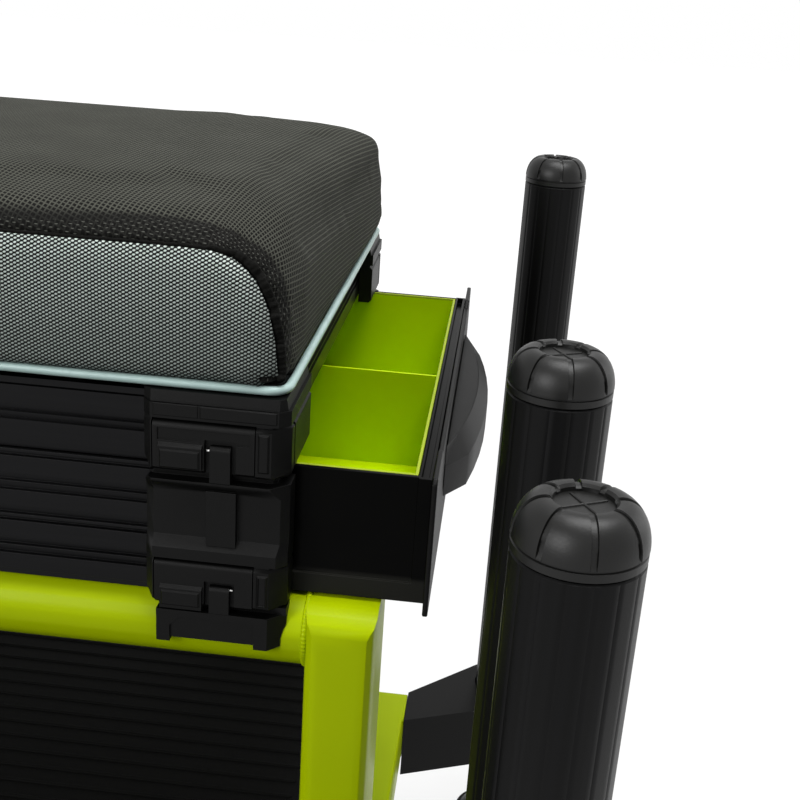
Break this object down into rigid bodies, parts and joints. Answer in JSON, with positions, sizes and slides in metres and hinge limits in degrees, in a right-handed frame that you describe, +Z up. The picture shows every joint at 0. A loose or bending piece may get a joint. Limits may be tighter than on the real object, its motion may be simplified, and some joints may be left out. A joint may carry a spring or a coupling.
{
  "type": "fishing seat box",
  "caption": "Cushioned seat box with a hinged lid, a side drawer and latched units on a tubular frame with a sliding footplate and telescopic legs in clamp blocks.",
  "frame": {"origin": "centre of the bounding box on the ground", "axes": "+X to the side that the drawer opens to, +Y to the rear where the lid is hinged, +Z up"},
  "size_m": [0.6334, 0.5184, 0.5035],
  "materials": {
    "cushion_fabric": "dark charcoal woven mesh",
    "piping_vinyl": "pale blue-grey vinyl piping",
    "black_casting": "fine-grain moulded black",
    "black_aluminium": "black anodised, satin",
    "lime_enamel": "glossy lime powder coat",
    "lime_plastic": "satin lime moulding",
    "tray_plastic": "dark moulded tray",
    "pin_steel": "drawn steel rod"
  },
  "bodies": {
    "frame": {"frame_upper_ring": "lime_enamel", "frame_lower_ring": "lime_enamel", "box_bracket_front_right": "black_casting", "box_bracket_front_left": "black_casting", "box_bracket_rear_right": "black_casting", "box_bracket_rear_left": "black_casting", "drawer_unit_walls": "black_aluminium", "drawer_unit_floor": "black_aluminium", "drawer_unit_corner_front_right": "black_casting", "drawer_unit_corner_front_left": "black_casting", "drawer_unit_corner_rear_right": "black_casting", "drawer_unit_corner_rear_left": "black_casting", "seat_unit_walls": "black_aluminium", "seat_unit_corner_front_right": "black_casting", "seat_unit_corner_front_left": "black_casting", "seat_unit_corner_rear_right": "black_casting", "seat_unit_corner_rear_left": "black_casting", "seat_tray": "tray_plastic", "lid_hinge_pin": "pin_steel", "leg_block_front_right": "black_casting", "leg_block_front_left": "black_casting", "leg_block_rear_right": "black_casting", "leg_block_rear_left": "black_casting"},
    "lid": {"seat_board": "black_casting", "seat_piping": "piping_vinyl", "seat_cushion": "cushion_fabric"},
    "drawer": {"drawer_tray": "black_casting", "drawer_liner": "lime_plastic", "drawer_front_plate": "black_casting", "drawer_handle": "black_casting"},
    "footplate": {"footplate_deck": "black_aluminium", "footplate_slide_frame": "black_aluminium", "leg_block_footplate_right": "black_casting", "leg_block_footplate_left": "black_casting"},
    "upper_latch_front_right_body": {"upper_latch_front_right": "black_casting"},
    "upper_latch_front_left_body": {"upper_latch_front_left": "black_casting"},
    "upper_latch_rear_right_body": {"upper_latch_rear_right": "black_casting"},
    "upper_latch_rear_left_body": {"upper_latch_rear_left": "black_casting"},
    "lower_latch_front_right_body": {"lower_latch_front_right": "black_casting"},
    "lower_latch_front_left_body": {"lower_latch_front_left": "black_casting"},
    "lower_latch_rear_right_body": {"lower_latch_rear_right": "black_casting"},
    "lower_latch_rear_left_body": {"lower_latch_rear_left": "black_casting"},
    "leg_front_right": {"leg_tube_front_right": "black_aluminium", "leg_cap_front_right": "black_casting"},
    "leg_front_left": {"leg_tube_front_left": "black_aluminium", "leg_cap_front_left": "black_casting"},
    "leg_rear_right": {"leg_tube_rear_right": "black_aluminium", "leg_cap_rear_right": "black_casting"},
    "leg_rear_left": {"leg_tube_rear_left": "black_aluminium", "leg_cap_rear_left": "black_casting"},
    "leg_footplate_right": {"leg_tube_footplate_right": "black_aluminium", "leg_cap_footplate_right": "black_casting"},
    "leg_footplate_left": {"leg_tube_footplate_left": "black_aluminium", "leg_cap_footplate_left": "black_casting"},
    "knob_front_right": {"clamp_knob_front_right": "black_casting"},
    "knob_front_left": {"clamp_knob_front_left": "black_casting"},
    "knob_rear_right": {"clamp_knob_rear_right": "black_casting"},
    "knob_rear_left": {"clamp_knob_rear_left": "black_casting"},
    "knob_footplate_right": {"clamp_knob_footplate_right": "black_casting"},
    "knob_footplate_left": {"clamp_knob_footplate_left": "black_casting"}
  },
  "joints": [
    {"name": "lid_hinge", "type": "hinge", "parent": "frame", "child": "lid", "pos_m": [0, 0.20295, 0.432], "axis": [-1, 0, 0], "range_deg": [0, 85]},
    {"name": "drawer_slide", "type": "slide", "parent": "frame", "child": "drawer", "axis": [1, 0, 0], "range_m": [-0.0523, 0.15]},
    {"name": "footplate_slide", "type": "slide", "parent": "frame", "child": "footplate", "axis": [0, -1, 0], "range_m": [0, 0.18]},
    {"name": "upper_latch_front_right_hinge", "type": "hinge", "parent": "frame", "child": "upper_latch_front_right_body", "pos_m": [0.1576, -0.09425, 0.4201], "axis": [-1, 0, 0], "range_deg": [0, 60]},
    {"name": "upper_latch_front_left_hinge", "type": "hinge", "parent": "frame", "child": "upper_latch_front_left_body", "pos_m": [-0.1576, -0.09425, 0.4201], "axis": [-1, 0, 0], "range_deg": [0, 60]},
    {"name": "upper_latch_rear_right_hinge", "type": "hinge", "parent": "frame", "child": "upper_latch_rear_right_body", "pos_m": [0.1576, 0.19715, 0.4201], "axis": [1, 0, 0], "range_deg": [0, 60]},
    {"name": "upper_latch_rear_left_hinge", "type": "hinge", "parent": "frame", "child": "upper_latch_rear_left_body", "pos_m": [-0.1576, 0.19715, 0.4201], "axis": [1, 0, 0], "range_deg": [0, 60]},
    {"name": "lower_latch_front_right_hinge", "type": "hinge", "parent": "frame", "child": "lower_latch_front_right_body", "pos_m": [0.1576, -0.09425, 0.3615], "axis": [-1, 0, 0], "range_deg": [0, 60]},
    {"name": "lower_latch_front_left_hinge", "type": "hinge", "parent": "frame", "child": "lower_latch_front_left_body", "pos_m": [-0.1576, -0.09425, 0.3615], "axis": [-1, 0, 0], "range_deg": [0, 60]},
    {"name": "lower_latch_rear_right_hinge", "type": "hinge", "parent": "frame", "child": "lower_latch_rear_right_body", "pos_m": [0.1576, 0.19715, 0.3615], "axis": [1, 0, 0], "range_deg": [0, 60]},
    {"name": "lower_latch_rear_left_hinge", "type": "hinge", "parent": "frame", "child": "lower_latch_rear_left_body", "pos_m": [-0.1576, 0.19715, 0.3615], "axis": [1, 0, 0], "range_deg": [0, 60]},
    {"name": "leg_front_right_slide", "type": "slide", "parent": "frame", "child": "leg_front_right", "axis": [0, 0, 1], "range_m": [-0.2, 0.03]},
    {"name": "leg_front_left_slide", "type": "slide", "parent": "frame", "child": "leg_front_left", "axis": [0, 0, 1], "range_m": [-0.2, 0.03]},
    {"name": "leg_rear_right_slide", "type": "slide", "parent": "frame", "child": "leg_rear_right", "axis": [0, 0, 1], "range_m": [-0.2, 0.03]},
    {"name": "leg_rear_left_slide", "type": "slide", "parent": "frame", "child": "leg_rear_left", "axis": [0, 0, 1], "range_m": [-0.2, 0.03]},
    {"name": "leg_footplate_right_slide", "type": "slide", "parent": "footplate", "child": "leg_footplate_right", "axis": [0, 0, 1], "range_m": [-0.2, 0.03]},
    {"name": "leg_footplate_left_slide", "type": "slide", "parent": "footplate", "child": "leg_footplate_left", "axis": [0, 0, 1], "range_m": [-0.2, 0.03]},
    {"name": "knob_front_right_turn", "type": "hinge", "parent": "frame", "child": "knob_front_right", "pos_m": [0.2849, -0.13535, 0.092], "axis": [0, -1, 0], "range_deg": [0, 180]},
    {"name": "knob_front_left_turn", "type": "hinge", "parent": "frame", "child": "knob_front_left", "pos_m": [-0.2849, -0.13535, 0.092], "axis": [0, -1, 0], "range_deg": [0, 180]},
    {"name": "knob_rear_right_turn", "type": "hinge", "parent": "frame", "child": "knob_rear_right", "pos_m": [0.2898, 0.23825, 0.092], "axis": [0, 1, 0], "range_deg": [0, 180]},
    {"name": "knob_rear_left_turn", "type": "hinge", "parent": "frame", "child": "knob_rear_left", "pos_m": [-0.2898, 0.23825, 0.092], "axis": [0, 1, 0], "range_deg": [0, 180]},
    {"name": "knob_footplate_right_turn", "type": "hinge", "parent": "footplate", "child": "knob_footplate_right", "pos_m": [0.2876, -0.23825, 0.133], "axis": [0, -1, 0], "range_deg": [0, 180]},
    {"name": "knob_footplate_left_turn", "type": "hinge", "parent": "footplate", "child": "knob_footplate_left", "pos_m": [-0.2876, -0.23825, 0.133], "axis": [0, -1, 0], "range_deg": [0, 180]}
  ]
}
